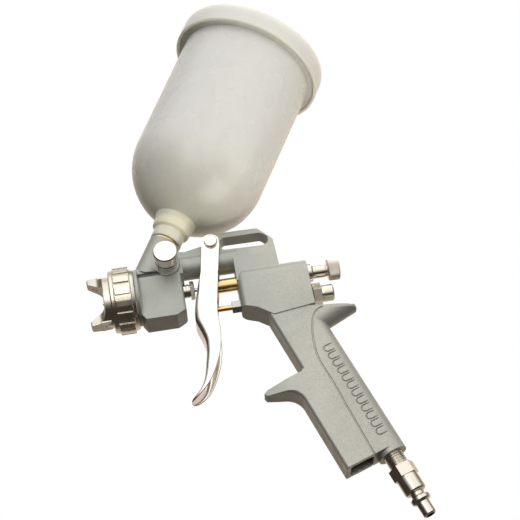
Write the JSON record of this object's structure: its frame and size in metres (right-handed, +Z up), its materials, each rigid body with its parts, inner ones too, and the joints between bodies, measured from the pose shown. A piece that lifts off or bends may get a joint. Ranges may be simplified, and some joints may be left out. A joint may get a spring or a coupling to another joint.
{
  "type": "gravity-feed paint spray gun",
  "caption": "Gravity-feed air spray gun with a translucent paint cup and push-on lid, trigger, needle line, air valve, fan valve and a quick-connect inlet plug.",
  "frame": {"origin": "spray outlet at the centre of the air cap, on the needle axis", "axes": "+X back along the needle axis, so the spray leaves toward -X; +Z up; Y across, with the fan knob on the -Y side"},
  "size_m": [0.1823, 0.1036, 0.3766],
  "materials": {
    "body_paint": "satin grey paint on a casting",
    "nickel": "nickel plate, warm",
    "bright_nickel": "bright nickel plate",
    "brass": "turned brass",
    "steel": "turned steel",
    "stainless": "stainless steel",
    "aluminium": "turned aluminium",
    "cup_plastic": "translucent polyethylene",
    "lid_plastic": "translucent polyethylene",
    "white_plastic": "white nylon or PTFE",
    "rubber": "black rubber"
  },
  "bodies": {
    "gun": {"gun_body": "body_paint", "fluid_nozzle": "stainless", "air_baffle": "white_plastic", "needle_packing": "white_plastic", "needle_packing_nut": "nickel", "needle_guide_bush": "nickel", "air_valve_gland": "aluminium", "air_valve_packing": "white_plastic", "air_valve_seat": "brass", "air_valve_cap_gasket": "rubber", "air_valve_cap": "nickel", "fan_valve_housing": "nickel", "pivot_bolt": "bright_nickel", "pivot_nut": "nickel", "cup_adaptor": "brass", "cup_gasket": "rubber", "cup": "cup_plastic", "cup_strainer": "white_plastic", "inlet_plug": "nickel"},
    "ring": {"retaining_ring": "nickel"},
    "spray_cap": {"air_cap": "nickel"},
    "needle": {"fluid_needle": "stainless", "needle_sleeve": "brass", "needle_lock_nut": "brass", "needle_spring": "steel"},
    "air_valve": {"air_valve_stem": "brass", "air_valve_poppet": "rubber", "air_valve_spring": "steel"},
    "fluid_seat": {"needle_spring_seat": "brass"},
    "fluid_control": {"fluid_knob": "nickel"},
    "fan_follower": {"fan_stem_seal": "rubber"},
    "fan_control": {"fan_stem": "brass", "fan_knob": "bright_nickel"},
    "trigger_lever": {"trigger": "bright_nickel"},
    "lid": {"cup_lid": "lid_plastic", "lid_vent_plug": "white_plastic"}
  },
  "joints": [
    {"name": "trigger_pull", "type": "hinge", "parent": "gun", "child": "trigger_lever", "pos_m": [0.0722, 0, 0.0274], "axis": [0, -1, 0], "range_deg": [0, 10], "stiffness_Nm_per_rad": 2, "springref_deg": -5.73},
    {"name": "needle_travel", "type": "slide", "parent": "gun", "child": "needle", "axis": [1, 0, 0], "range_m": [0, 0.005], "deforming": ["needle_spring"]},
    {"name": "air_valve_travel", "type": "slide", "parent": "gun", "child": "air_valve", "axis": [1, 0, 0], "range_m": [0, 0.0078], "deforming": ["air_valve_spring"]},
    {"name": "fluid_seat_travel", "type": "slide", "parent": "gun", "child": "fluid_seat", "axis": [1, 0, 0], "range_m": [0, 0.0036]},
    {"name": "fluid_knob_turn", "type": "hinge", "parent": "fluid_seat", "child": "fluid_control", "pos_m": [0.14, 0, 0], "axis": [1, 0, 0], "range_deg": [0, 1080]},
    {"name": "fan_stem_travel", "type": "slide", "parent": "gun", "child": "fan_follower", "axis": [0, -1, 0], "range_m": [0, 0.003]},
    {"name": "fan_knob_turn", "type": "hinge", "parent": "fan_follower", "child": "fan_control", "pos_m": [0.0426, -0.02, 0.016], "axis": [0, -1, 0], "range_deg": [0, 900]},
    {"name": "ring_turn", "type": "hinge", "parent": "gun", "child": "ring", "pos_m": [0.0129, 0, 0], "axis": [1, 0, 0], "continuous": true},
    {"name": "cap_turn", "type": "hinge", "parent": "gun", "child": "spray_cap", "pos_m": [0.004, 0, 0], "axis": [1, 0, 0], "continuous": true},
    {"name": "lid_lift", "type": "slide", "parent": "gun", "child": "lid", "axis": [0.4924, 0, 0.8704], "range_m": [0, 0.03]}
  ],
  "couplings": [
    {"joint": "needle_travel", "follows": "trigger_pull", "m_per_rad": 0.0275},
    {"joint": "air_valve_travel", "follows": "trigger_pull", "m_per_rad": 0.044},
    {"joint": "fluid_seat_travel", "follows": "fluid_knob_turn", "m_per_rad": 0.00015915},
    {"joint": "fan_stem_travel", "follows": "fan_knob_turn", "m_per_rad": 0.00015915}
  ]
}
